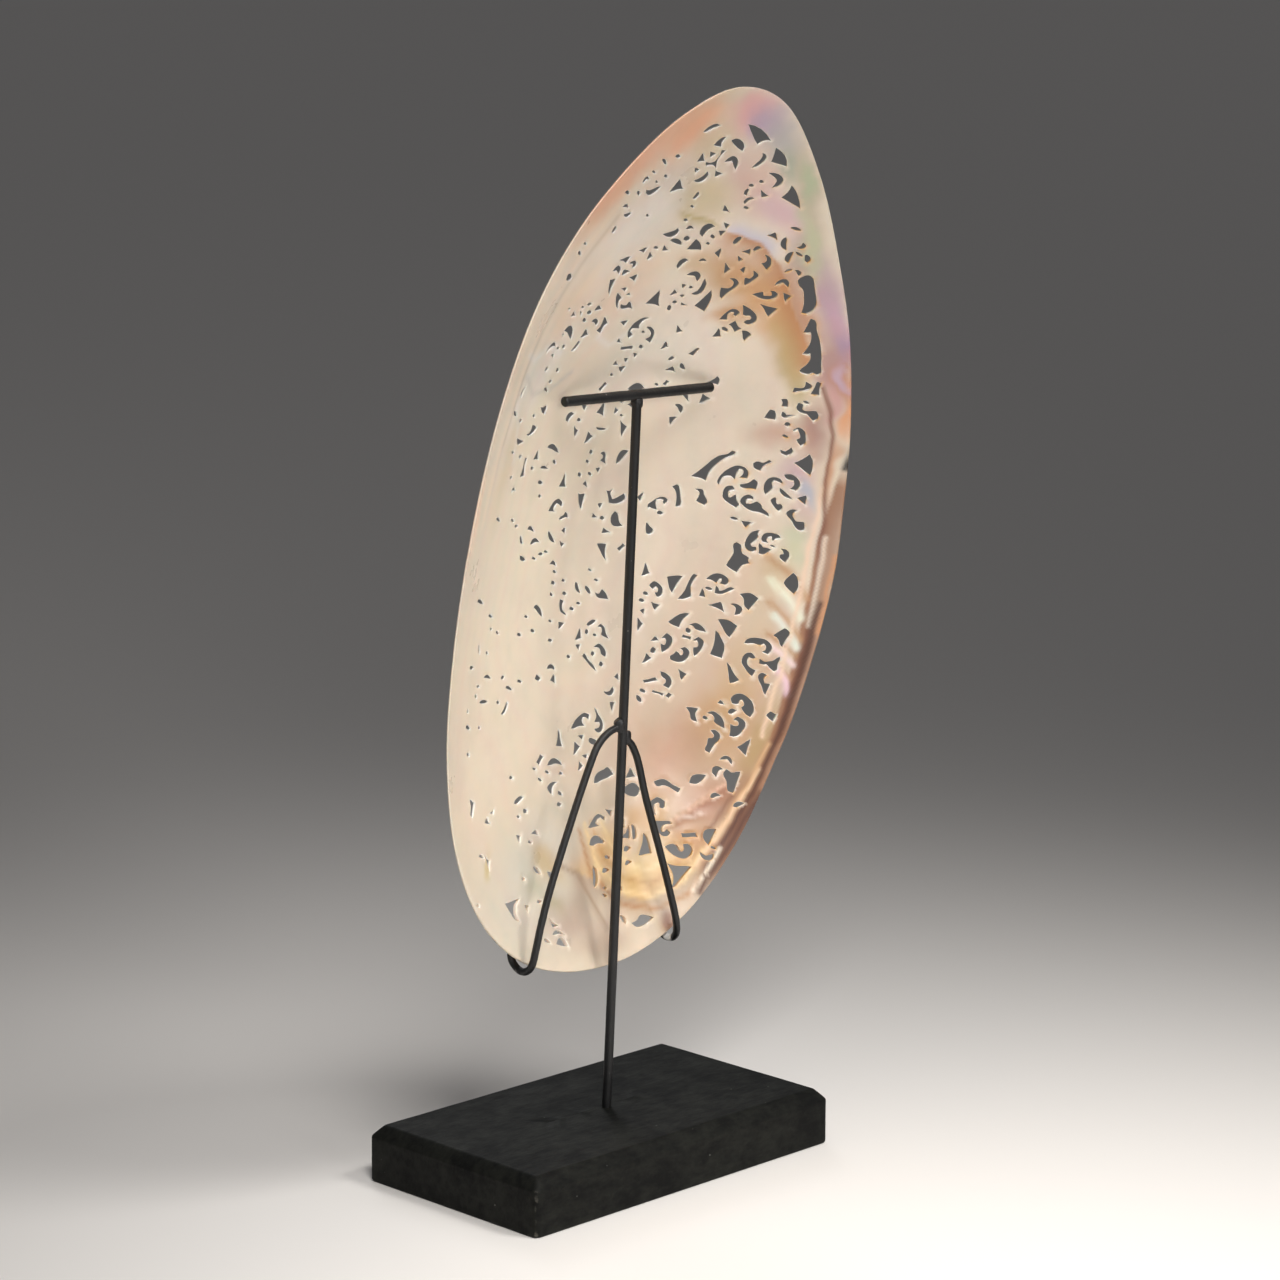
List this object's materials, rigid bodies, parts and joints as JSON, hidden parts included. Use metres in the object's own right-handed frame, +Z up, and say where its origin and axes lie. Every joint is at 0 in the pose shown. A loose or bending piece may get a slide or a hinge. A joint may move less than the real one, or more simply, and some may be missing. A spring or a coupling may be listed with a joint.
{
  "type": "carved pearl shell on stand",
  "caption": "Large freshwater mussel valve, pierced all over with scrolls, crescents and darts, standing hollow side forward on a wire stand with a wooden block foot.",
  "frame": {"origin": "middle of the wooden block's underside", "axes": "+Z up, +X along the block's long side, -Y the side that the valve's pearly hollow faces"},
  "size_m": [0.1636, 0.0942, 0.3346],
  "materials": {
    "wood": "matte",
    "wire": "satin",
    "pearl": "gloss"
  },
  "bodies": {
    "root": {"base": "wood", "post": "wire", "crossbar": "wire", "hook_left": "wire", "hook_right": "wire", "shell": "pearl"}
  },
  "joints": []
}
